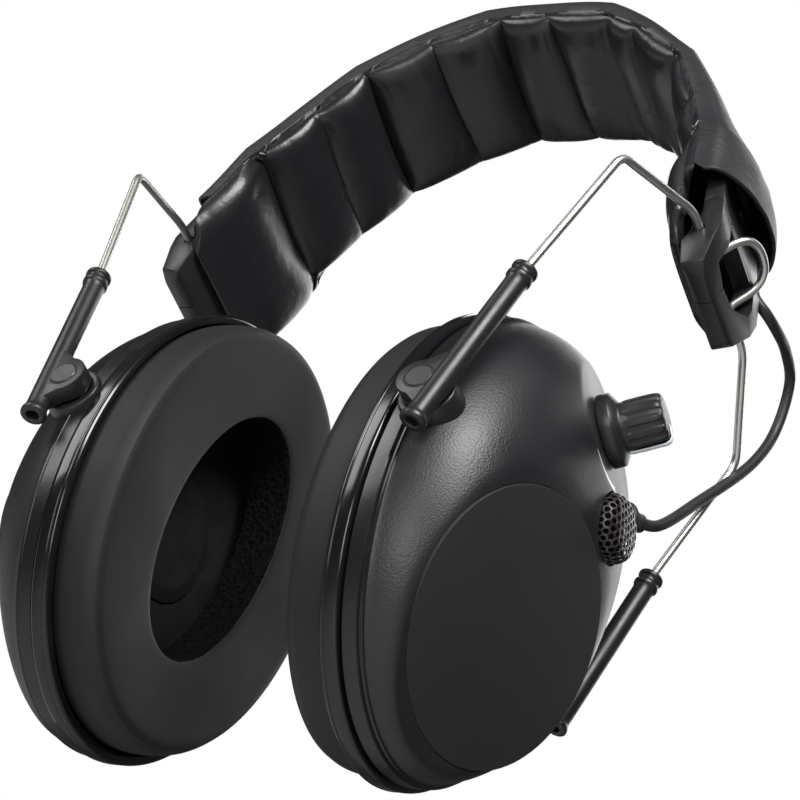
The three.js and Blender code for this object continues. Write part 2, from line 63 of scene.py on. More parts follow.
def camera_axes():
    """Right, up and back of the camera, in the row frame."""
    a, e, roll = CAMERA_AZIMUTH, CAMERA_ELEVATION, CAMERA_ROLL
    back = Vector((math.sin(a) * math.cos(e), -math.cos(a) * math.cos(e), math.sin(e)))
    level = Vector((math.cos(a), math.sin(a), 0.0))
    above = back.cross(level)
    right = level * math.cos(roll) + above * math.sin(roll)
    up = above * math.cos(roll) - level * math.sin(roll)
    return right, up, back


def make_camera():
    right, up, back = camera_axes()
    data = bpy.data.cameras.new("camera")
    data.lens = CAMERA_LENS
    data.sensor_width = 36.0
    data.clip_start = 0.01
    data.clip_end = 20.0
    camera = bpy.data.objects.new("camera", data)
    scene.collection.objects.link(camera)
    turn = Matrix((right, up, back)).transposed().to_4x4()
    camera.matrix_world = Matrix.Translation(CAMERA_TARGET + back * CAMERA_DISTANCE) @ turn
    scene.camera = camera


make_camera()

# ---------------------------------------------------------------- light and floor


def softbox(name, toward, distance, width, height, power):
    """An area light on the line toward (right, up, back of the camera) from the target, facing it."""
    right, up, back = camera_axes()
    direction = (right * toward[0] + up * toward[1] + back * toward[2]).normalized()
    data = bpy.data.lights.new(name, "AREA")
    data.shape = "RECTANGLE"
    data.size = width
    data.size_y = height
    data.energy = power
    light = bpy.data.objects.new(name, data)
    scene.collection.objects.link(light)
    light.location = CAMERA_TARGET + direction * distance
    light.rotation_mode = "QUATERNION"
    light.rotation_quaternion = direction.to_track_quat("Z", "Y")
    light.visible_camera = False


softbox("key_above", (0.45, 0.80, 0.42), 0.85, 0.45, 0.32, 9.0)
softbox("key_front", (-0.12, 0.50, 0.86), 0.95, 0.40, 0.35, 3.0)
softbox("left_above", (-0.62, 0.78, -0.05), 0.9, 0.35, 0.5, 3.0)
softbox("sweep_left", (-0.86, -0.27, -0.42), 1.0, 1.0, 0.8, 1.8)
softbox("left_low", (-0.82, -0.30, 0.46), 1.0, 0.35, 0.6, 1.2)
softbox("front_low", (0.1, -0.75, 0.75), 1.1, 0.6, 0.4, 1.8)
softbox("backdrop", (0.45, 0.10, -0.9), 1.0, 1.0, 0.9, 7.5)

FLOOR_Z = -0.75
FLOOR_HALF = 6.0


def make_world():
    """White behind the object, and a dimmer grey for what lights it."""
    world = bpy.data.worlds.new("studio")
    scene.world = world
    world.use_nodes = True
    nodes, links = world.node_tree.nodes, world.node_tree.links
    nodes.clear()
    out = nodes.new("ShaderNodeOutputWorld")
    seen = nodes.new("ShaderNodeBackground")
    seen.inputs["Color"].default_value = (1.0, 1.0, 1.0, 1.0)
    seen.inputs["Strength"].default_value = 1.0
    lit = nodes.new("ShaderNodeBackground")
    lit.inputs["Color"].default_value = (0.92, 0.95, 1.0, 1.0)
    lit.inputs["Strength"].default_value = 0.07
    path = nodes.new("ShaderNodeLightPath")
    mix = nodes.new("ShaderNodeMixShader")
    links.new(path.outputs["Is Camera Ray"], mix.inputs["Fac"])
    links.new(lit.outputs["Background"], mix.inputs[1])
    links.new(seen.outputs["Background"], mix.inputs[2])
    links.new(mix.outputs["Shader"], out.inputs["Surface"])


make_world()
scene.view_settings.view_transform = "Standard"
scene.view_settings.look = "None"

# ---------------------------------------------------------------- materials


def node_material(name, colour, roughness, metallic=0.0, specular=0.5):
    """A Principled material with its colour, roughness, metallic and specular set."""
    look = bpy.data.materials.new(name)
    look.use_nodes = True
    nodes = look.node_tree.nodes
    shader = nodes["Principled BSDF"]
    shader.inputs["Base Color"].default_value = (*colour, 1.0)
    shader.inputs["Roughness"].default_value = roughness
    shader.inputs["Metallic"].default_value = metallic
    shader.inputs["Specular IOR Level"].default_value = specular
    look.diffuse_color = (*colour, 1.0)
    return look


def texture(look, kind, scale, detail=2.0, stretch=(1.0, 1.0, 1.0)):
    """The factor of a procedural texture in object coordinates, scale in features per metre."""
    nodes, links = look.node_tree.nodes, look.node_tree.links
    place = nodes.new("ShaderNodeTexCoord")
    mapping = nodes.new("ShaderNodeMapping")
    mapping.inputs["Scale"].default_value = stretch
    links.new(place.outputs["Object"], mapping.inputs["Vector"])
    if kind == "noise":
        made = nodes.new("ShaderNodeTexNoise")
        made.inputs["Detail"].default_value = detail
        out = made.outputs["Fac"]
    else:
        made = nodes.new("ShaderNodeTexVoronoi")
        out = made.outputs["Distance"]
    made.inputs["Scale"].default_value = scale
    links.new(mapping.outputs["Vector"], made.inputs["Vector"])
    return out


def add_bump(look, factor, strength, depth):
    """Adds a bump of that depth in metres under any bump already on the material."""
    nodes, links = look.node_tree.nodes, look.node_tree.links
    shader = nodes["Principled BSDF"]
    bump = nodes.new("ShaderNodeBump")
    bump.inputs["Strength"].default_value = strength
    bump.inputs["Distance"].default_value = depth
    links.new(factor, bump.inputs["Height"])
    before = shader.inputs["Normal"].links
    if before:
        links.new(before[0].from_socket, bump.inputs["Normal"])
    links.new(bump.outputs["Normal"], shader.inputs["Normal"])


def vary(look, socket, factor, low, high, start=0.3, end=0.7):
    """Drives a number of the shader from a texture, between low and high."""
    nodes, links = look.node_tree.nodes, look.node_tree.links
    spread = nodes.new("ShaderNodeMapRange")
    spread.inputs["From Min"].default_value = start
    spread.inputs["From Max"].default_value = end
    spread.inputs["To Min"].default_value = low
    spread.inputs["To Max"].default_value = high
    links.new(factor, spread.inputs["Value"])
    links.new(spread.outputs["Result"], nodes["Principled BSDF"].inputs[socket])


def vary_colour(look, factor, dark, light, start=0.3, end=0.7):
    """Mixes two colours by a texture."""
    nodes, links = look.node_tree.nodes, look.node_tree.links
    ramp = nodes.new("ShaderNodeValToRGB")
    ramp.color_ramp.elements[0].position = start
    ramp.color_ramp.elements[0].color = (*dark, 1.0)
    ramp.color_ramp.elements[1].position = end
    ramp.color_ramp.elements[1].color = (*light, 1.0)
    links.new(factor, ramp.inputs["Fac"])
    links.new(ramp.outputs["Color"], nodes["Principled BSDF"].inputs["Base Color"])


def leatherette():
    look = node_material("leatherette", (0.012, 0.012, 0.014), 0.31)
    vary(look, "Roughness", texture(look, "noise", 90.0), 0.25, 0.38)
    add_bump(look, texture(look, "noise", 320.0, 3.0), 0.25, 0.0006)
    add_bump(look, texture(look, "voronoi", 1500.0), 0.10, 0.0001)
    return look


def wrap_leatherette():
    look = node_material("wrap_leatherette", (0.016, 0.016, 0.018), 0.5)
    vary(look, "Roughness", texture(look, "noise", 120.0), 0.45, 0.58)
    grain = texture(look, "noise", 500.0, 4.0, (1.0, 0.45, 2.0))
    add_bump(look, grain, 0.35, 0.0004)
    add_bump(look, texture(look, "voronoi", 1600.0), 0.2, 0.0001)
    return look


def grained_shell():
    look = node_material("grained_shell", (0.011, 0.011, 0.013), 0.4)
    vary(look, "Roughness", texture(look, "noise", 60.0), 0.36, 0.44)
    add_bump(look, texture(look, "noise", 2300.0, 2.0), 0.5, 0.00014)
    return look


def satin_plastic():
    look = node_material("satin_plastic", (0.013, 0.013, 0.014), 0.38)
    vary(look, "Roughness", texture(look, "noise", 200.0), 0.33, 0.43)
    add_bump(look, texture(look, "noise", 1800.0, 2.0), 0.12, 0.00008)
    return look


def gloss_plastic():
    look = node_material("gloss_plastic", (0.006, 0.006, 0.007), 0.14)
    vary(look, "Roughness", texture(look, "noise", 70.0), 0.10, 0.20)
    add_bump(look, texture(look, "noise", 260.0, 1.0), 0.05, 0.0001)
    return look


def skirt_plastic():
    look = node_material("skirt_plastic", (0.008, 0.008, 0.009), 0.27)
    vary(look, "Roughness", texture(look, "noise", 80.0), 0.22, 0.33)
    add_bump(look, texture(look, "noise", 1100.0, 2.0), 0.12, 0.0001)
    return look


def disc_film():
    look = node_material("disc_film", (0.019, 0.019, 0.020), 0.62, 0.0, 0.35)
    vary(look, "Roughness", texture(look, "noise", 45.0), 0.57, 0.66)
    add_bump(look, texture(look, "noise", 2600.0, 1.0), 0.06, 0.00005)
    return look


def cushion_skin():
    look = node_material("cushion_skin", (0.008, 0.008, 0.009), 0.58, 0.0, 0.4)
    vary(look, "Roughness", texture(look, "noise", 55.0), 0.56, 0.68)
    add_bump(look, texture(look, "noise", 900.0, 3.0), 0.12, 0.0001)
    add_bump(look, texture(look, "noise", 38.0, 1.0), 0.10, 0.002)
    return look


def foam():
    look = node_material("foam", (0.003, 0.003, 0.003), 0.95, 0.0, 0.05)
    pores = texture(look, "voronoi", 900.0)
    vary_colour(look, pores, (0.001, 0.001, 0.001), (0.005, 0.005, 0.005), 0.1, 0.6)
    add_bump(look, pores, 0.8, 0.0006)
    return look


def inner_plastic():
    look = node_material("inner_plastic", (0.010, 0.010, 0.011), 0.6, 0.0, 0.3)
    add_bump(look, texture(look, "noise", 1200.0, 2.0), 0.2, 0.0001)
    vary(look, "Roughness", texture(look, "noise", 150.0), 0.5, 0.7)
    return look


def stainless():
    look = node_material("stainless", (0.68, 0.655, 0.62), 0.38, 1.0)
    drawn = texture(look, "noise", 300.0, 3.0, (1.0, 1.0, 0.1))
    vary(look, "Roughness", drawn, 0.33, 0.43)
    vary_colour(look, texture(look, "noise", 120.0), (0.62, 0.595, 0.56), (0.74, 0.715, 0.675))
    return look


def rubber():
    look = node_material("cable_rubber", (0.014, 0.014, 0.015), 0.5)
    vary(look, "Roughness", texture(look, "noise", 300.0), 0.44, 0.56)
    add_bump(look, texture(look, "noise", 1500.0, 2.0), 0.15, 0.0001)
    return look


def mesh_metal():
    look = node_material("mesh_metal", (0.05, 0.043, 0.042), 0.34, 0.75)
    vary_colour(look, texture(look, "noise", 500.0), (0.02, 0.017, 0.017), (0.10, 0.085, 0.083))
    vary(look, "Roughness", texture(look, "noise", 900.0), 0.26, 0.42)
    return look


def white_print():
    look = node_material("white_print", (0.72, 0.77, 0.80), 0.45)
    vary(look, "Roughness", texture(look, "noise", 400.0), 0.38, 0.52)
    add_bump(look, texture(look, "noise", 1500.0), 0.05, 0.00005)
    return look


def board_green():
    look = node_material("board_green", (0.010, 0.070, 0.032), 0.4)
    tracks = texture(look, "voronoi", 330.0)
    vary_colour(look, tracks, (0.008, 0.050, 0.024), (0.018, 0.105, 0.045), 0.25, 0.45)
    add_bump(look, tracks, 0.3, 0.0001)
    return look


def cell_jacket():
    look = node_material("cell_jacket", (0.09, 0.10, 0.11), 0.3, 0.4)
    bands = texture(look, "noise", 18.0, 0.0, (0.05, 1.0, 0.05))
    vary_colour(look, bands, (0.05, 0.055, 0.06), (0.35, 0.27, 0.12), 0.46, 0.5)
    vary(look, "Roughness", texture(look, "noise", 200.0), 0.25, 0.35)
    return look


LEATHERETTE = leatherette()
WRAP = wrap_leatherette()
SHELL = grained_shell()
SATIN = satin_plastic()
GLOSS = gloss_plastic()
SKIRT = skirt_plastic()
DISC = disc_film()
CUSHION = cushion_skin()
FOAM = foam()
INNER = inner_plastic()
STEEL = stainless()
RUBBER = rubber()
MESH = mesh_metal()
WHITE = white_print()
BOARD = board_green()
CELL = cell_jacket()

# ---------------------------------------------------------------- mesh helpers


MERGE_DISTANCE = 2e-7


def clean_object(name, points, faces):
    """An object of points in metres, with doubled points merged and its faces turned outward."""
    mesh = bpy.data.meshes.new(name)
    mesh.from_pydata(points.tolist(), [], faces)
    work = bmesh.new()
    work.from_mesh(mesh)
    bmesh.ops.remove_doubles(work, verts=work.verts, dist=MERGE_DISTANCE)
    bmesh.ops.recalc_face_normals(work, faces=work.faces)
    work.to_mesh(mesh)
    work.free()
    piece = bpy.data.objects.new(name, mesh)
    scene.collection.objects.link(piece)
    return piece


def put(name, points, faces, look, slot, body, nodes=(), side=1, bevel=0.0, sharp=40.0, ride=True):
    """Makes a piece from points in millimetres, drawn for the right side and mirrored for the left."""
    points = np.asarray(points, float).reshape(-1, 3) * MM * (side, 1.0, 1.0)
    if side < 0:
        faces = [tuple(reversed(face)) for face in faces]
    piece = clean_object(name, points, faces)
    piece.data.materials.append(look)
    if bevel:
        soften = piece.modifiers.new("soft_edges", "BEVEL")
        soften.width = bevel * MM
        soften.segments = 2
        soften.limit_method = "ANGLE"
        soften.angle_limit = math.radians(30.0)
        bake(piece)
    piece.data.shade_smooth()
    piece.data.set_sharp_from_angle(angle=math.radians(sharp))
    if ride:
        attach(piece, body)
    if nodes:
        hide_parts(*nodes)
    return piece


def bake(piece):
    """Applies the piece's modifiers to its mesh."""
    bpy.context.view_layer.update()
    final = piece.evaluated_get(bpy.context.evaluated_depsgraph_get())
    mesh = bpy.data.meshes.new_from_object(final)
    piece.modifiers.clear()
    piece.data = mesh


def grid(points, wrap_rows=False, wrap_columns=True):
    """Points and quads of a grid of shape (rows, columns, 3)."""
    rows, columns = points.shape[:2]
    faces = []
    for i in range(rows if wrap_rows else rows - 1):
        for j in range(columns if wrap_columns else columns - 1):
            a, b = i * columns, ((i + 1) % rows) * columns
            k = (j + 1) % columns
            faces.append((a + j, a + k, b + k, b + j))
    return points.reshape(-1, 3), faces


def capped(rows):
    """A tube from rows of points, closed by a flat face at its first and last row."""
    rows = np.asarray(rows, float)
    points, faces = grid(rows)
    sides = rows.shape[1]
    last = len(points) - sides
    return points, faces + [tuple(range(sides)), tuple(range(last + sides - 1, last - 1, -1))]


def joined(*parts):
    """Several (points, faces) as one."""
    points, faces, start = [], [], 0
    for some_points, some_faces in parts:
        points.append(np.asarray(some_points, float).reshape(-1, 3))
        faces += [tuple(i + start for i in face) for face in some_faces]
        start += len(points[-1])
    return np.concatenate(points), faces


def moved(part, matrix):
    """(points, faces) with a 4x4 matrix applied."""
    points, faces = part
    turn = np.array(matrix)
    return np.asarray(points) @ turn[:3, :3].T + turn[:3, 3], faces


def along(origin, axis, about=(0.0, 1.0, 0.0)):
    """A matrix that takes +X to axis and the origin to a point."""
    x = Vector(axis).normalized()
    z = x.cross(Vector(about)).normalized()
    y = z.cross(x)
    turn = Matrix((x, y, z)).transposed().to_4x4()
    return Matrix.Translation(Vector(origin)) @ turn


def ring(sides):
    angles = np.arange(sides) / sides * 2 * math.pi
    return np.cos(angles), np.sin(angles)


def turned(profile, sides=64, width_ratio=1.0, closed=False):
    """A surface of revolution about +X from (x, radius) pairs, flattened in Y."""
    cos, sin = ring(sides)
    profile = np.asarray(profile, float)
    points = np.empty((len(profile), sides, 3))
    points[:, :, 0] = profile[:, :1]
    points[:, :, 1] = profile[:, 1:] * cos * width_ratio
    points[:, :, 2] = profile[:, 1:] * sin
    return grid(points, wrap_rows=closed)


def rounded(profile, radius=0.3, steps=3, closed=True):
    """A profile of (x, y) corners with each corner rounded."""
    corners = [np.array(p, float) for p in profile]
    count = len(corners)
    out = []
    for i in range(count):
        here = corners[i]
        if not closed and i in (0, count - 1):
            out.append(here)
            continue
        before, after = corners[i - 1] - here, corners[(i + 1) % count] - here
        reach = min(radius, 0.45 * np.linalg.norm(before), 0.45 * np.linalg.norm(after))
        start = here + before / np.linalg.norm(before) * reach
        end = here + after / np.linalg.norm(after) * reach
        for t in np.linspace(0.0, 1.0, steps + 1):
            out.append((1 - t) ** 2 * start + 2 * t * (1 - t) * here + t * t * end)
    return out


def prism(outline, low, high):
    """An outline of (y, z) pairs carried along X from low to high."""
    count = len(outline)
    points = [(x, y, z) for x in (low, high) for y, z in outline]
    faces = [tuple(range(count)), tuple(range(2 * count - 1, count - 1, -1))]
    faces += [(i, i + count, (i + 1) % count + count, (i + 1) % count) for i in range(count)]
    return np.array(points), faces


def smooth_line(points, spacing):
    """A centripetal Catmull-Rom curve through the points, at even spacing."""
    p = [np.array(q, float) for q in points]
    p = [2 * p[0] - p[1], *p, 2 * p[-1] - p[-2]]
    samples = []
    for before, start, end, after in zip(p, p[1:], p[2:], p[3:]):
        a = math.sqrt(np.linalg.norm(start - before))
        b = math.sqrt(np.linalg.norm(end - start))
        c = math.sqrt(np.linalg.norm(after - end))
        leave = ((start - before) / a - (end - before) / (a + b) + (end - start) / b) * b
        arrive = ((end - start) / b - (after - start) / (b + c) + (after - end) / c) * b
        for t in np.linspace(0.0, 1.0, 24, endpoint=False):
            near, far = 1 + 2 * t, 3 - 2 * t
            samples.append(
                start * near * (1 - t) ** 2
                + end * far * t * t
                + leave * t * (1 - t) ** 2
                - arrive * t * t * (1 - t)
            )
    samples.append(p[-2])
    return even(samples, spacing)


def even(samples, spacing):
    """The same line with points at even spacing."""
    samples = np.array(samples)
    steps = np.linalg.norm(np.diff(samples, axis=0), axis=1)
    gone = np.concatenate([[0.0], np.cumsum(steps)])
    count = max(2, int(round(gone[-1] / spacing)) + 1)
    at = np.linspace(0.0, gone[-1], count)
    return np.stack([np.interp(at, gone, samples[:, k]) for k in range(samples.shape[1])], axis=1)


def bent_line(points, rounding, spacing=0.5):
    """Straight runs through the points, with each corner rounded by its distance."""
    p = [np.array(q, float) for q in points]
    samples = [p[0]]
    for i in range(1, len(p) - 1):
        before = p[i - 1] - p[i]
        after = p[i + 1] - p[i]
        start = p[i] + before / np.linalg.norm(before) * rounding[i]
        end = p[i] + after / np.linalg.norm(after) * rounding[i]
        for t in np.linspace(0.0, 1.0, 13):
            samples.append((1 - t) ** 2 * start + 2 * t * (1 - t) * p[i] + t * t * end)
    samples.append(p[-1])
    return even(samples, spacing)


def swept(line, radius, sides=16):
    """A closed round tube along a line of points."""
    line = np.asarray(line, float)
    tangent = np.gradient(line, axis=0)
    tangent /= np.linalg.norm(tangent, axis=1)[:, None]
    across = np.cross(tangent[0], (0.31, 0.87, 0.38))
    cos, sin = ring(sides)
    rows = []
    for point, t in zip(line, tangent):
        across = across - t * np.dot(across, t)
        across /= np.linalg.norm(across)
        other = np.cross(t, across)
        rows.append(point + radius * (np.outer(cos, across) + np.outer(sin, other)))
    return capped(rows)


def smoothstep(low, high, value):
    t = np.clip((value - low) / (high - low), 0.0, 1.0)
    return t * t * (3 - 2 * t)


# ---------------------------------------------------------------- headband

# Half of the band's centre line in x and z, from the crown down to the bracket.
ARCH = (
    (0.0, 5.5), (14.5, 4.1), (31.0, -3.2), (44.5, -16.2),
    (55.0, -33.0), (61.2, -50.0), (65.2, -66.0), (67.7, -76.0),
)
BAND_HALF_WIDTH = 19.0
BAND_OUTER = 4.6
BAND_SEAM = -0.9
PAD_DEPTH = 3.5
PAD_END = 124.0
FLAP_END = 120.5
# Creases across the pad: place along the band from the crown, depth, width and slant, in millimetres.
CREASES = (
    (-90.2, 3.4, 1.5, -1.2),
    (-70.8, 0.9, 0.9, -1.5),
    (-52.2, 3.6, 1.6, -0.6),
    (-32.4, 0.8, 0.8, 0.6),
    (-14.0, 3.4, 1.6, -0.8),
    (2.6, 1.8, 1.3, 1.0),
    (20.5, 1.6, 1.4, 0.8),
    (32.0, 1.4, 1.2, 1.5),
    (52.0, 2.8, 1.6, 0.6),
    (71.0, 1.0, 1.0, -1.0),
    (90.2, 3.0, 1.5, 1.2),
)
KINKS = (-112.0, -87.5, -51.5, -17.0, 17.0, 51.5, 87.5, 112.0)


def arch_table():
    """Distance from the crown, then x, z and the outward normal, along the band's centre line."""
    half = [(x, 0.0, z) for x, z in ARCH]
    line = smooth_line([(-x, y, z) for x, y, z in half[:0:-1]] + half, 0.25)
    steps = np.linalg.norm(np.diff(line, axis=0), axis=1)
    gone = np.concatenate([[0.0], np.cumsum(steps)])
    gone -= gone[-1] / 2
    tangent = np.gradient(line, axis=0)
    tangent /= np.linalg.norm(tangent, axis=1)[:, None]
    return gone, line[:, 0], line[:, 2], -tangent[:, 2], tangent[:, 0]


ARCH_TABLE = arch_table()


def on_band(s, y, n):
    """The point s along the band, y across it and n outward from its centre line."""
    gone, x, z, nx, nz = ARCH_TABLE
    s, y, n = np.broadcast_arrays(s, y, n)
    beyond = s - np.clip(s, gone[0], gone[-1])
    normal_x, normal_z = np.interp(s, gone, nx), np.interp(s, gone, nz)
    px = np.interp(s, gone, x) + n * normal_x + beyond * normal_z
    pz = np.interp(s, gone, z) + n * normal_z - beyond * normal_x
    return np.stack([px, y, pz], axis=-1)


def chord_sag(s):
    """How far the straight runs between the band's kinks lie inside its smooth line."""
    sag = np.zeros_like(s)
    for low, high in zip(KINKS, KINKS[1:]):
        u = np.clip((s - low) / (high - low), 0.0, 1.0)
        sag += 4 * u * (1 - u) * ((s >= low) & (s < high)) * (high - low) / 35.0
    return -1.2 * sag


def pad_depth(s, a):
    """Depth of the stuffed pad at s along the band and a across it, from -1 at the rear to 1 at the front."""
    places = [-PAD_END] + [crease[0] for crease in CREASES] + [PAD_END]
    puff = np.zeros_like(s)
    for low, high in zip(places, places[1:]):
        u = np.clip((s - low) / (high - low), 0.0, 1.0)
        size = min(1.0, (high - low) / 20.0, 20.0 / (high - low))
        puff += np.sin(math.pi * u) ** 0.7 * ((s >= low) & (s < high)) * size
    depth = PAD_DEPTH + 1.7 * puff
    for place, deep, width, slant in CREASES:
        away = np.abs(s - place - slant * a - 0.5 * np.sin(3.0 * a + place))
        depth -= deep * np.exp(-((away / width) ** 1.15))
        depth -= 0.22 * deep * np.exp(-((away / (4.2 * width)) ** 2)) * (0.6 + 0.4 * np.abs(a))
    return depth


def small_folds(s, a, rng):
    """Short soft wrinkles, most of them near the pad's two edges and near the crown."""
    height = np.zeros_like(s)
    for _ in range(46):
        centre = rng.uniform(-104.0, 104.0)
        edge = rng.choice((-1.0, 1.0)) * rng.uniform(0.55, 0.98)
        lean = rng.uniform(-5.0, 5.0)
        width = rng.uniform(1.2, 2.6)
        reach = rng.uniform(0.16, 0.4)
        size = rng.uniform(-0.42, 0.32)
        away = (s - centre - lean * (a - edge)) / width
        height += size * np.exp(-(away**2) - ((a - edge) / reach) ** 2)
    return height


def cover_points():
    """The padded cover as a grid: stations along the band, then round its section from the rear seam."""
    rng = np.random.default_rng(7)
    outer_turn = np.linspace(0.0, math.pi, 70, endpoint=False)
    inner_turn = np.linspace(math.pi, 2 * math.pi, 96, endpoint=False)
    angle = np.concatenate([outer_turn, inner_turn])
    inner = angle >= math.pi
    power = np.where(inner, 2 / 3.4, 2 / 6.0)
    across = -np.sign(np.cos(angle)) * np.abs(np.cos(angle)) ** power
    rise = np.abs(np.sin(angle)) ** power
    stations = np.linspace(-1.0, 1.0, 520)
    flap = FLAP_END - 4.5 * smoothstep(0.75, 1.0, -across) - 6.5 * smoothstep(0.25, 1.0, across)
    blend = smoothstep(0.0, 0.45, rise)
    ends = []
    left_end = (103.5 - 3.5 * across, 104.5)
    right_end = (97.3 - 5.2 * across, 99.5 - 3.0 * (across > 0))
    for out_end, side_end in (left_end, right_end):
        ends.append(np.where(inner, flap, out_end) * blend + side_end * (1 - blend))
    s = stations[:, None] * np.where(stations[:, None] < 0, ends[0], ends[1])
    a = np.broadcast_to(across, s.shape)
    up = np.broadcast_to(rise, s.shape)
    flare = smoothstep(74.0, 93.0, np.abs(s))
    half = BAND_HALF_WIDTH - 0.7 * np.broadcast_to(inner, s.shape) + 0.8 * flare
    outer_n = BAND_SEAM + up * (BAND_OUTER - BAND_SEAM + 4.2 * flare * (1 - a**2) * (s > 0))
    outer_n += 0.5 * (1 - a**2) * up
    outer_n -= 3.0 * np.exp(-(((s - 44.0) / 24.0) ** 2)) * up
    depth = pad_depth(s, a) + small_folds(s, a, rng)
    depth = depth + np.where(s < 0, -0.6, 0.9) * smoothstep(50.0, 78.0, np.abs(s))
    inner_n = BAND_SEAM - 0.25 - up * depth + 1.2 * smoothstep(108.0, 119.0, np.abs(s)) * up
    n = np.where(np.broadcast_to(inner, s.shape), inner_n, outer_n) + chord_sag(s)
    return on_band(s, a * half, n), inner


def make_headband():
    """The padded cover: leatherette inside, a duller wrap outside, and a thicker wall in the flaps."""
    points, inner = cover_points()
    part = grid(points)
    nodes = ("headband_cover", "headband_foam")
    cover = put("band_cover", *part, LEATHERETTE, "leatherette", "headband", nodes)
    cover.data.materials.append(WRAP)
    count = points.shape[1]
    outside = [0 if inner[polygon.vertices[0] % count] else 1 for polygon in cover.data.polygons]
    cover.data.polygons.foreach_set("material_index", outside)
    stuffed = cover.vertex_groups.new(name="stuffed")
    distance = np.abs(np.linspace(-FLAP_END, FLAP_END, len(points)))
    drop = smoothstep(92.0, 104.0, np.repeat(distance, count))
    for i, share in enumerate(0.3 + 0.7 * drop * np.tile(inner, len(points))):
        stuffed.add([i], share, "REPLACE")
    wall = cover.modifiers.new("wall", "SOLIDIFY")
    wall.thickness = 3.0 * MM
    wall.offset = -1.0
    wall.vertex_group = "stuffed"
    bake(cover)
    cover.data.shade_smooth()


make_headband()

# ---------------------------------------------------------------- brackets

HINGE = (67.4, 0.0, -77.4)
BRACKET_LEAN = math.radians(14.0)
BRACKET = Matrix.Translation(HINGE) @ Matrix.Rotation(-BRACKET_LEAN, 4, "Y")
# The bracket's wedge in x and z: a thin lower edge, a sloping face, a crest on the wire's line, then the top.
WEDGE = (
    (-4.0, -10.0), (-4.0, -3.4), (-2.4, -0.6), (-1.9, 1.2), (-0.6, 3.2), (0.2, 6.0), (0.3, 10.2), (4.2, 10.2),
    (5.0, 8.6), (5.0, 0.2), (3.72, -3.4), (1.38, -10.0), (0.9, -11.0), (0.4, -11.6), (-2.6, -11.2),
)
WINDOW = ((-9.7, -5.4), (-3.8, -6.9), (3.0, -6.4), (9.4, -1.9), (9.4, 8.7), (-9.7, 8.7))


def extruded(outline, low, high):
    """A solid with an outline in x and z, from low to high along y."""
    points, faces = prism(outline, low, high)
    return points[:, [1, 0, 2]], faces


def bracket_body():
    """The bracket's wedge with its lower corners cut off; make_bracket cuts its window through the sloping
    face.
    """
    points, faces = extruded(WEDGE, -16.0, 14.0)
    side = np.clip(-points[:, 2] - 3.4, 0.0, 6.6)
    corner = np.clip(-points[:, 2] - 10.0, 0.0, None)
    points[:, 1] += np.where(points[:, 1] < 0, 0.18 * side + 2.3 * corner, -0.55 * side - 1.6 * corner)
    caps = [tuple(range(1, 11)), (10, 11, 0, 1), (11, 12, 13, 14, 0)]
    count = len(WEDGE)
    caps += [tuple(i + count for i in cap[::-1]) for cap in caps]
    return points, caps + faces[2:]


def tongue():
    """The blade above the bracket: a flat rear side, a ridge beside it and a hollow outer face."""
    rows = []
    stations = (
        (9.2, -16.1, 13.2, 4.9), (14.0, -15.7, 12.8, 4.8),
        (21.0, -15.0, 12.0, 4.4), (30.0, -13.6, 10.6, 3.6),
    )
    for z, rear, front, ridge in stations:
        rows.append([
            (0.35, rear, z), (ridge, rear + 0.3, z), (ridge - 0.5, rear + 4.4, z),
            (ridge - 0.7, rear + 9.0, z), (ridge - 0.6, front - 5.0, z), (ridge - 0.2, front, z),
            (0.35, front, z),
        ])
    return capped(rows)


def make_bracket(name, side):
    """One bracket and its tongue, with the window, the loop's relief, the bore and two seams cut in."""
    part = moved(bracket_body(), BRACKET)
    nodes = (name + "_bracket",)
    plastic = (SATIN, "black_plastic", "headband")
    body = put(name + "_bracket_body", *part, *plastic, nodes, side, 0.45, 30.0, ride=False)
    window = prism(WINDOW, -2.5, 12.0)
    relief = prism(((-8.6, 8.0), (8.6, 8.0), (8.6, 11.6), (-8.6, 11.6)), 4.2, 12.0)
    bore = turned([(-30.0, 0.0), (-30.0, 1.3), (30.0, 1.3), (30.0, 0.0)], 24)
    across = along((0.0, 0.0, 0.0), (0.0, 1.0, 0.0), (1.0, 0.0, 0.0))
    low_seam = ((-4.6, -9.4), (-3.75, -9.9), (-2.5, -10.95), (0.4, -11.35), (0.4, -13.5), (-4.6, -13.5))
    slope_seam = ((0.3, -11.4), (0.66, -10.95), (3.3, -3.8), (4.6, -4.2), (1.8, -12.0))
    seams = [extruded(outline, -4.1, -3.85) for outline in (low_seam, slope_seam)]
    carve(body, [moved(cut, BRACKET) for cut in (window, relief, moved(bore, across), *seams)], side)
    body.data.set_sharp_from_angle(angle=math.radians(30.0))
    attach(body, "headband")
    put(name + "_bracket_tongue", *moved(tongue(), BRACKET), *plastic, (), side, 0.35, 30.0)


# ---------------------------------------------------------------- yoke wires, sleeves and pins

WIRE_RADIUS = 0.95
YOKE_HALF_SPAN = 45.1
LOOP_HALF_WIDTH = 7.2
SLEEVE_AIM = np.array((59.5, YOKE_HALF_SPAN, -89.2))
BEND = np.array((62.2, YOKE_HALF_SPAN, -88.6))
SLEEVE_TOP = np.array((53.6, YOKE_HALF_SPAN, -124.8))
SLEEVE_DOWN = (SLEEVE_TOP - SLEEVE_AIM) / np.linalg.norm(SLEEVE_TOP - SLEEVE_AIM)
SLEEVE_LENGTH = 45.8
WIRE_IN_SLEEVE = 15.0
PIVOT = np.array((43.6, 0.0, -158.6))


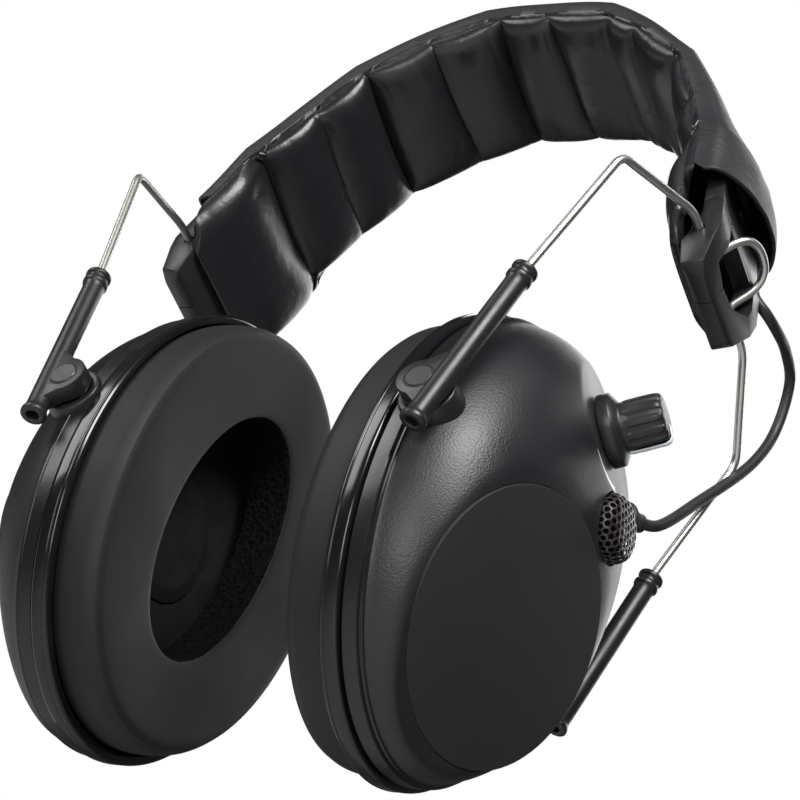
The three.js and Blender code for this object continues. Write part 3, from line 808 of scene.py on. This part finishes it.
def wire_line():
    """The yoke wire's centre line, from the front sleeve round the crank loop to the rear sleeve."""
    loop = np.array(BRACKET @ Vector((9.5, LOOP_HALF_WIDTH, 6.8)))
    half = [
        SLEEVE_TOP + SLEEVE_DOWN * WIRE_IN_SLEEVE,
        SLEEVE_TOP,
        BEND,
        np.array((HINGE[0], 20.5, HINGE[2])),
        np.array((HINGE[0], LOOP_HALF_WIDTH, HINGE[2])),
        loop,
    ]
    other = [p * (1.0, -1.0, 1.0) for p in half[::-1]]
    return bent_line(half + other, (0.0, 4.0, 3.0, 3.0, 2.2, 7.1, 7.1, 2.2, 3.0, 3.0, 4.0, 0.0))


def make_wire(name, side):
    """The steel yoke wire of one cup."""
    part = swept(wire_line(), WIRE_RADIUS)
    put(name + "_yoke", *part, STEEL, "steel_wire", name + "_yoke", (name + "_yoke_wire",), side)


def sleeve_tube():
    """The sleeve's barrel, double collar, lower flange and open bores, about the wire's line."""
    end = SLEEVE_LENGTH
    profile = [
        (0.0, 1.25), (0.0, 2.6), (0.25, 2.9), (1.15, 2.9), (1.4, 2.45), (2.3, 2.45), (2.55, 2.85),
        (3.5, 2.85), (3.9, 2.5), (5.0, 2.4), (end - 3.2, 2.4), (end - 2.0, 2.5), (end - 1.2, 2.85),
        (end - 0.3, 2.9), (end, 2.5),
        (end, 1.35), (end - 6.0, 1.2), (6.0, 1.2),
    ]
    return moved(turned(rounded(profile, 0.25, 2), 40, closed=True), along(SLEEVE_TOP, SLEEVE_DOWN))


def sleeve_lug():
    """The teardrop lug: its round end is about the pivot and its straight sides run into the barrel."""
    start = SLEEVE_TOP + SLEEVE_DOWN * 25.5
    end = SLEEVE_TOP + SLEEVE_DOWN * (SLEEVE_LENGTH - 3.0)
    outline = [(start[0], start[2])]
    for angle in np.linspace(0.52, 1.44, 19) * math.pi:
        outline.append((PIVOT[0] + 4.9 * math.cos(angle), PIVOT[2] + 4.9 * math.sin(angle)))
    outline.append((end[0], end[2]))
    points, faces = prism(outline, 42.9, 46.8)
    return points[:, [1, 0, 2]], faces


def make_sleeve(name, end, side):
    """One sleeve: end is front or rear."""
    flip = (1.0, 1.0 if end == "front" else -1.0, 1.0)
    body = name + "_slides"
    points, faces = joined(sleeve_tube(), sleeve_lug())
    nodes = (f"{name}_sleeve_{end}",)
    tube = f"{name}_slide_tube_{end}"
    put(tube, points * flip, faces, SATIN, "black_plastic", body, nodes, side, 0.3, 32.0)
    head = [(0.0, 0.0), (0.0, 1.9), (8.3, 1.9), (8.3, 3.0), (10.25, 3.0), (10.5, 2.75), (10.5, 0.0)]
    pin = moved(turned(head, 40), along((PIVOT[0], 36.5, PIVOT[2]), (0, 1, 0), (1, 0, 0)))
    nodes = (f"{name}_pivot_pin_{end}",)
    put(f"{name}_pin_{end}", pin[0] * flip, pin[1], SATIN, "black_plastic", body, nodes, side, 0.0, 30.0)
    groove = [(0.0, 3.02), (0.0, 3.32), (0.12, 3.32), (0.12, 3.02)]
    dark = moved(turned(groove, 40, closed=True), along((PIVOT[0], 46.74, PIVOT[2]), (0, 1, 0), (1, 0, 0)))
    put(f"{name}_pin_groove_{end}", dark[0] * flip, dark[1], INNER, "black_plastic", body, (), side)


# ---------------------------------------------------------------- cups

CUP_AT = (32.8, 0.0, -160.4)
CUP = Matrix.Translation(CUP_AT)
HALF_HEIGHT = 54.3
WIDTH_RATIO = 40.8 / HALF_HEIGHT
DOME_HEIGHT = 30.6
DOME_POWER = 2.76
PANEL = CUP @ Matrix.Translation((22.1, 0.0, -22.1)) @ Matrix.Rotation(math.radians(16.8), 4, "Y")
FACET = CUP @ Matrix.Translation((24.7, -1.2, 33.6)) @ Matrix.Rotation(math.radians(-22.0), 4, "Y")
MIC = CUP @ Matrix.Translation((27.3, 9.2, 15.5)) @ Matrix.Rotation(math.radians(-6.0), 4, "Y")
PANEL_THICK = 1.8
DISC_HALF_WIDTH = 30.6
DISC_HALF_HEIGHT = 28.6
DISC_CENTRE = (0.9, 1.4)
SKIRT_EDGE = 9.3
OPENING_HALF_WIDTH = 18.4
OPENING_HALF_HEIGHT = 32.0


def below_plane(points, plane, softness):
    """Pulls points down in x to a plane, with the edge rounded over that many millimetres."""
    normal = np.array(plane.to_3x3() @ Vector((1, 0, 0)))
    origin = np.array(plane.translation)
    limit = origin[0] - ((points[..., 1:] - origin[1:]) @ normal[1:]) / normal[0]
    x = points[..., 0]
    h = np.clip(0.5 + 0.5 * (limit - x) / softness, 0.0, 1.0)
    points[..., 0] = limit * (1 - h) + x * h - softness * h * (1 - h)
    return points


def shell_points():
    """The shell's outside: skirt band, double seam line, then the dome with its two flats."""
    skirt = [
        (4.6, 53.0), (4.6, 54.4), (4.8, 54.8), (6.0, 54.85), (7.9, 54.8), (8.15, 54.55), (8.3, 54.05),
        (8.5, 54.0), (8.7, 54.2), (9.05, 54.2), (9.25, 53.75), (9.4, 53.62),
    ]
    reach = np.linspace(0.0, 1.0, 110)
    radius = (1 - (9.7 / DOME_HEIGHT) ** DOME_POWER) ** (1 / DOME_POWER)
    start = np.arccos(radius ** (DOME_POWER / 2))
    angle = start + (math.pi / 2 - start) * reach**0.8
    height = DOME_HEIGHT * np.sin(angle) ** (2 / DOME_POWER)
    dome = np.stack([height, HALF_HEIGHT * np.cos(angle) ** (2 / DOME_POWER)])
    dome[1, -1] = 0.0
    profile = np.concatenate([np.array(skirt), dome.T])
    points, _ = turned(profile, 220, WIDTH_RATIO)
    points, _ = moved((points, None), CUP)
    points = points.reshape(len(profile), 220, 3)
    dome_rows = points[len(skirt):]
    below_plane(dome_rows, PANEL, 2.2)
    below_plane(dome_rows, FACET, 0.3)
    return points


def carve(piece, parts, side):
    """Cuts solids, drawn for the right side, out of a piece."""
    for i, (points, faces) in enumerate(parts):
        tool = clean_object(f"cutter_{i}", points * (side, 1.0, 1.0) * MM, faces)
        cut = piece.modifiers.new("cut", "BOOLEAN")
        cut.operation = "DIFFERENCE"
        cut.solver = "EXACT"
        cut.object = tool
        bake(piece)
        bpy.data.objects.remove(tool)


def disc_outline(grow=0.0, sides=96):
    """The panel disc's oval outline on the panel plane."""
    cos, sin = ring(sides)
    y = DISC_CENTRE[0] + (DISC_HALF_WIDTH + grow) * cos
    z = DISC_CENTRE[1] + (DISC_HALF_HEIGHT + grow) * sin
    return list(zip(y, z))


def make_shell(name, side):
    """The cup's shell, with a seat for the disc and, on the right, battery and microphone holes."""
    points = shell_points()
    body = name + "_cup"
    nodes = (name + "_cup_shell",)
    shell = put(name + "_shell", *grid(points), SHELL, "grained_shell", body, nodes, side, ride=False)
    shell.data.materials.append(SKIRT)
    wall = shell.modifiers.new("wall", "SOLIDIFY")
    wall.thickness = 1.6 * MM
    wall.offset = -1.0
    bake(shell)
    limit = (CUP_AT[0] + SKIRT_EDGE) * MM
    index = [1 if abs(polygon.center.x) < limit else 0 for polygon in shell.data.polygons]
    shell.data.polygons.foreach_set("material_index", index)
    tools = [moved(prism(disc_outline(0.15), -1.3, 4.0), PANEL)]
    if side > 0:
        pocket = [(-21.0, -4.5), (21.0, -4.5), (21.0, 19.0), (-21.0, 19.0)]
        tools.append(moved(prism(pocket, -8.0, 2.0), PANEL))
        tools.append(moved(turned([(0.0, 0.0), (0.0, 7.9), (9.0, 7.9), (9.0, 0.0)], 64), MIC))
    carve(shell, tools, side)
    shell.data.shade_smooth()
    shell.data.set_sharp_from_angle(angle=math.radians(32.0))
    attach(shell, body)


def make_bosses(name, side):
    """The ring bosses on the shell under the sleeves' lugs."""
    outline = [(0.0, 4.6), (0.0, 6.7), (4.6, 6.4), (6.0, 6.1), (6.0, 4.6), (4.2, 4.3), (4.2, 2.3), (0.0, 2.3)]
    profile = rounded(outline, 0.4)
    place = along((PIVOT[0], 36.3, PIVOT[2]), (0, 1, 0), (1, 0, 0))
    for end, way in (("front", 1.0), ("rear", -1.0)):
        boss = moved(turned(profile, 48, closed=True), place)
        points = boss[0] * (1.0, way, 1.0)
        put(f"{name}_boss_{end}", points, boss[1], SATIN, "black_plastic", name + "_cup", (), side)


def make_rim(name, side):
    """The glossy rim: front lip, wide outer face with a fine groove, and the step under the skirt."""
    profile = rounded(
        [
            (-0.1, 53.6), (-0.1, 55.3), (0.5, 56.0), (1.0, 56.0), (1.12, 55.8), (1.3, 55.8), (1.42, 56.0),
            (3.7, 56.0), (4.2, 55.5), (4.2, 52.0), (6.9, 52.0), (6.9, 50.4), (4.2, 50.4), (4.2, 42.3),
            (2.1, 42.3), (2.1, 53.4),
        ],
        0.25,
        2,
    )
    part = moved(turned(profile, 160, 42 / 56, closed=True), CUP)
    put(name + "_rim", *part, GLOSS, "gloss_rim", name + "_cup", (name + "_cup_rim",), side, sharp=50.0)


def cushion_section():
    """The cushion's section: share of the way from the hole's edge to the outside, and x."""
    return rounded(
        [
            (0.0, 1.4), (0.0, -8.9), (0.02, -9.7), (0.08, -10.0), (0.45, -10.3), (0.84, -10.3), (0.93, -9.7),
            (0.985, -7.6), (1.0, -4.2), (0.995, -1.0), (0.97, 1.0), (0.9, 1.7),
        ],
        1.6,
        5,
    )


def make_cushion(name, side):
    """Soft foam under a smooth skin, with an oval opening and a vent hole low on its side."""
    rng = np.random.default_rng(3 if side > 0 else 4)
    section = np.array(cushion_section())
    sides = 200
    cos, sin = ring(sides)
    angle = np.arange(sides) / sides * 2 * math.pi
    share = section[:, :1]
    y = (OPENING_HALF_WIDTH + 21.8 * share) * cos
    z = (OPENING_HALF_HEIGHT + 21.0 * share) * sin
    x = np.repeat(section[:, 1:], sides, axis=1)
    wave = sum(rng.uniform(-0.12, 0.12) * np.sin(k * angle + rng.uniform(0, 6.3)) for k in range(2, 7))
    soft = (x < 0) * (share > 0.05)
    x = x + wave * soft * np.sin(math.pi * np.clip(share, 0, 1))
    points = np.stack([x, y, z], axis=-1)
    part = moved(grid(points, wrap_rows=True), CUP)
    nodes = (name + "_ear_cushion",)
    cushion = put(name + "_cushion", *part, CUSHION, "cushion_foil", name + "_cup", nodes, side, sharp=60.0)
    # The opening's inner wall takes the darker, duller foam look: painted shade for the inside of the
    # opening.
    cushion.data.materials.append(FOAM)
    centres = np.array([polygon.center for polygon in cushion.data.polygons]) / MM
    reach = np.hypot(centres[:, 1] / OPENING_HALF_WIDTH, (centres[:, 2] - CUP_AT[2]) / OPENING_HALF_HEIGHT)
    cushion.data.polygons.foreach_set("material_index", (reach < 1.02).astype(int))
    vent_angle = math.radians(-109.0)
    spot = (-2.6, 40.1 * math.cos(vent_angle), 52.9 * math.sin(vent_angle))
    outward = (0.0, math.cos(vent_angle) / 39.2, math.sin(vent_angle) / 52.0)
    vent = [(-0.9, 0.0), (-0.9, 0.75), (0.0, 0.75), (0.0, 0.55), (-0.3, 0.5), (-0.3, 0.0)]
    hole = moved(turned(vent, 20), CUP @ along(spot, outward, (1, 0, 0)))
    put(name + "_vent", *hole, FOAM, "cushion_foil", name + "_cup", (), side)


def make_disc(name, side, node):
    """The panel disc: a thin matte plate with a fine rounded edge, and two tabs behind the right one."""
    profile = [(-PANEL_THICK, -0.2), (-PANEL_THICK, 0.0), (-0.2, 0.0), (-0.05, -0.1), (0.03, -0.4)]
    rows = [[(x, y, z) for y, z in disc_outline(grow)] for x, grow in profile]
    parts = [capped(rows)]
    if side > 0:
        for height in (-2.2, 18.2):
            tab = [(-6.0, height - 0.7), (6.0, height - 0.7), (6.0, height + 0.7), (-6.0, height + 0.7)]
            parts.append(prism(tab, -4.0, -PANEL_THICK + 0.1))
    body = "battery_lid" if side > 0 else name + "_cup"
    put(name + "_disc", *moved(joined(*parts), PANEL), DISC, "black_plastic", body, (node,), side, sharp=35.0)


def grille_point(radius, angle):
    """A point on the cap-shaped grille at a length over its surface and an angle round its axis."""
    face, corner = 4.8, 2.5
    bend = min(max(radius - face, 0.0) / corner, math.pi / 2)
    side = max(radius - face - corner * math.pi / 2, 0.0)
    flat = min(radius, face) + corner * math.sin(bend) + 0.05 * side
    rise = 5.9 - 0.012 * min(radius, face) ** 2 - corner * (1 - math.cos(bend)) - side
    return rise, flat * math.cos(angle), flat * math.sin(angle)


def make_grille():
    """The microphone's domed mesh: a honeycomb of open cells with a rolled base ring."""
    pitch, bar = 1.75, 0.27
    points, faces, corners = [], [], {}

    def vertex(u, v):
        key = (round(u * 200), round(v * 200))
        if key not in corners:
            corners[key] = len(points)
            points.append(grille_point(math.hypot(u, v), math.atan2(v, u)))
        return corners[key]

    outer = pitch / math.sqrt(3)
    inner = outer - bar / math.cos(math.pi / 6)
    for row in range(-10, 11):
        for column in range(-10, 11):
            u = pitch * (column + 0.5 * (row % 2))
            v = pitch * math.sqrt(3) / 2 * row
            if math.hypot(u, v) > 11.2:
                continue
            turns = [math.radians(30 + 60 * k) for k in range(6)]
            out = [vertex(u + outer * math.cos(t), v + outer * math.sin(t)) for t in turns]
            hole = [vertex(u + inner * math.cos(t), v + inner * math.sin(t)) for t in turns]
            faces += [(out[k], out[(k + 1) % 6], hole[(k + 1) % 6], hole[k]) for k in range(6)]
    mesh_part = moved((np.array(points), faces), MIC)
    mesh = put("grille", *mesh_part, MESH, "mesh", "right_cup", ("mic_grille",), ride=False)
    wall = mesh.modifiers.new("wall", "SOLIDIFY")
    wall.thickness = 0.35 * MM
    wall.offset = 0.0
    soften = mesh.modifiers.new("soft_edges", "BEVEL")
    soften.width = 0.06 * MM
    soften.segments = 1
    bake(mesh)
    mesh.data.shade_smooth()
    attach(mesh, "right_cup")
    collar = rounded([(-1.6, 6.4), (0.0, 6.4), (0.5, 6.7), (0.5, 7.3), (0.1, 7.6), (-1.6, 7.6)], 0.2)
    ring_part = moved(turned(collar, 56, closed=True), MIC)
    put("grille_ring", *ring_part, SATIN, "black_plastic", "right_cup")
    dome = [(4.2, 0.0), (4.1, 2.0), (3.2, 4.2), (1.4, 5.8), (-1.5, 6.2), (-1.5, 0.0)]
    put("mic_foam", *moved(turned(dome, 40), MIC), FOAM, "foam", "right_cup", ("mic_capsule",))


GLAND_AXIS = Vector((0.45, 0.72, 0.53)).normalized()
GLAND_AT = (20.6, 25.2, 33.6)
GLAND = CUP @ along(GLAND_AT, GLAND_AXIS)


def make_gland(name, side):
    """The cable gland: a flange on the shell and a short stepped sleeve."""
    profile = rounded(
        [
            (-4.0, 1.4), (-4.0, 2.2), (0.0, 2.2), (0.0, 4.0), (0.5, 4.3), (1.4, 4.2), (1.8, 3.0),
            (2.4, 2.9), (2.6, 2.6), (3.3, 2.6), (3.5, 2.3), (5.2, 2.1), (5.3, 1.4),
        ],
        0.2,
        2,
    )
    part = moved(turned(profile, 40, closed=True), GLAND)
    nodes = (name + "_cable_gland",)
    put(name + "_gland", *part, RUBBER, "black_plastic", name + "_cup", nodes, side)


# ---------------------------------------------------------------- volume knob

KNOB_FLUTES = 12


def knob_points():
    """The knob's outside: chamfered skirt, waist, and a barrel with shallow round-ended flutes."""
    profile = [
        (0.3, 0.0), (0.3, 7.6), (0.45, 7.95), (0.7, 8.05), (2.9, 8.05), (3.15, 7.95), (4.2, 6.2),
        (4.35, 5.95), (4.6, 5.6), (4.9, 5.5), (5.4, 5.5), (6.0, 5.55), (6.6, 5.6), (8.0, 5.6), (9.5, 5.6),
        (11.0, 5.58), (12.4, 5.5),
        (13.2, 5.3), (13.6, 4.9), (13.8, 4.4), (13.9, 3.4), (13.9, 0.0),
    ]
    sides = 192
    x, radius = np.array(profile).T
    angle = np.arange(sides) / sides * 2 * math.pi
    wave = np.clip(np.cos(KNOB_FLUTES * angle) * 0.5 + 0.5, 0, 1)
    flute = 0.42 * smoothstep(0.30, 0.75, wave)
    deep = smoothstep(5.2, 6.2, x) * (1 - smoothstep(13.3, 13.9, x))
    around = radius[:, None] - deep[:, None] * flute
    height = np.repeat(x[:, None], sides, 1)
    return np.stack([height, around * np.cos(angle), around * np.sin(angle)], axis=-1)


def make_knob():
    """The fluted knob and the white pointer that runs over its rim."""
    part = moved(grid(knob_points()), FACET)
    put("knob", *part, SATIN, "black_plastic", "volume_dial", ("volume_knob",), sharp=45.0)
    turn = FACET @ Matrix.Rotation(-0.9, 4, "X")
    path = [(4.6, 5.8), (5.4, 5.95), (8.0, 6.0), (12.6, 5.95), (13.6, 5.6), (14.1, 4.8), (14.2, 2.2)]
    thick = [(x - 0.15, r - 0.5) for x, r in path]
    rows = []
    for (x, r), (inner_x, inner_r) in zip(path, thick):
        rows.append([(inner_x, inner_r, -0.85), (x, r, -0.75), (x, r, 0.75), (inner_x, inner_r, 0.85)])
    strip = moved(capped(rows), turn)
    put("pointer", *strip, WHITE, "white_mark", "volume_dial", ("knob_pointer",), bevel=0.12)


def on_shell(shell, y, z):
    """Points just under and just over the right shell's surface, below a point of the knob's flat."""
    normal = (FACET.to_3x3() @ Vector((1, 0, 0))).normalized()
    start = FACET @ Vector((8.0, y, z))
    hit, place, _, _ = shell.ray_cast(start * MM, -normal)
    place = place / MM if hit else FACET @ Vector((0.0, y, z))
    return [tuple(place - normal * 0.1), tuple(place + normal * 0.06)]


def make_volume_wedge():
    """The white wedge beside the knob, which widens with the volume."""
    shell = bpy.data.objects["right_shell"]
    rows = []
    for t in np.linspace(0.0, 1.0, 30):
        angle = math.radians(-116.0 + 56.0 * t)
        low, high = ((r * math.cos(angle), r * math.sin(angle)) for r in (12.8 - 0.5 * t, 13.0 + 0.8 * t))
        (under_low, over_low), (under_high, over_high) = on_shell(shell, *low), on_shell(shell, *high)
        rows.append([under_low, under_high, over_high, over_low])
    put("volume_wedge", *capped(rows), WHITE, "white_mark", "right_cup")


# ---------------------------------------------------------------- link cable

CABLE_RADIUS = 1.3
CABLE_VIA = (
    (60.2, 40.0, -106.0), (64.0, 49.4, -83.0), (64.9, 51.2, -70.0), (66.4, 46.2, -60.0), (68.6, 36.0, -61.0),
    (70.8, 24.8, -65.8), (70.6, 18.2, -67.4), (68.0, 15.0, -65.4), (66.8, 14.9, -62.6),
)


def cable_line():
    """The cable's route from the gland's mouth up and round into the end of the band."""
    mouth = Vector((CUP_AT[0] + GLAND_AT[0], GLAND_AT[1], CUP_AT[2] + GLAND_AT[2])) + GLAND_AXIS * 5.3
    lead = mouth + GLAND_AXIS * 4.0
    return smooth_line([tuple(mouth), tuple(lead), *CABLE_VIA], 1.0)


def make_cable():
    """The cable in three lengths, each swept along its share of the route between the cup and the band."""
    line = cable_line()
    count = len(line)
    cuts = (0, int(count * 0.29), int(count * 0.58), count - 1)
    spans = (
        ("cable_cup", "right_slides", "right_cup"),
        ("cable_middle", "right_yoke", "right_slides"),
        ("cable_band", "headband", "right_yoke"),
    )
    for (name, parent, child), low, high in zip(spans, cuts, cuts[1:]):
        run = line[max(0, low - 1) : high + 1]
        tube = swept(run, CABLE_RADIUS, 20)
        cable = put(name, *tube, RUBBER, "cable_rubber", child, ("link_cable",), ride=False)
        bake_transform(cable)


# ---------------------------------------------------------------- assembly

for cup_name, cup_side in SIDES.items():
    make_bracket(cup_name, cup_side)
    make_wire(cup_name, cup_side)
    for sleeve_end in ("front", "rear"):
        make_sleeve(cup_name, sleeve_end, cup_side)
    make_shell(cup_name, cup_side)
    make_bosses(cup_name, cup_side)
    make_rim(cup_name, cup_side)
    make_cushion(cup_name, cup_side)
    make_disc(cup_name, cup_side, "battery_cover" if cup_side > 0 else "left_panel")
    make_gland(cup_name, cup_side)
make_grille()
make_knob()
make_volume_wedge()
make_cable()

CARRIED = {
    "headband_spring": STEEL,
    "band_cable": RUBBER,
    "right_rivet": STEEL,
    "left_rivet": STEEL,
    "right_foam_liner": FOAM,
    "left_foam_liner": FOAM,
    "right_baffle": INNER,
    "left_baffle": INNER,
    "right_speaker": INNER,
    "left_speaker": INNER,
    "circuit_board": BOARD,
    "volume_control": INNER,
    "battery_tray": INNER,
    "battery_upper": CELL,
    "battery_lower": CELL,
}
for node, carried_look in CARRIED.items():
    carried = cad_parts[node]
    carried.data.materials.clear()
    carried.data.materials.append(carried_look)


def make_floor():
    """A plain pale floor, well below the object and the camera."""
    corners = [(x, y, FLOOR_Z) for x, y in ((-1, -1), (1, -1), (1, 1), (-1, 1))]
    mesh = bpy.data.meshes.new("floor")
    mesh.from_pydata([(x * FLOOR_HALF, y * FLOOR_HALF, z) for x, y, z in corners], [], [(0, 1, 2, 3)])
    floor = bpy.data.objects.new("floor", mesh)
    scene.collection.objects.link(floor)
    pale = node_material("pale_floor", (0.82, 0.82, 0.82), 0.8)
    vary(pale, "Roughness", texture(pale, "noise", 4.0), 0.75, 0.85)
    mesh.materials.append(pale)


make_floor()
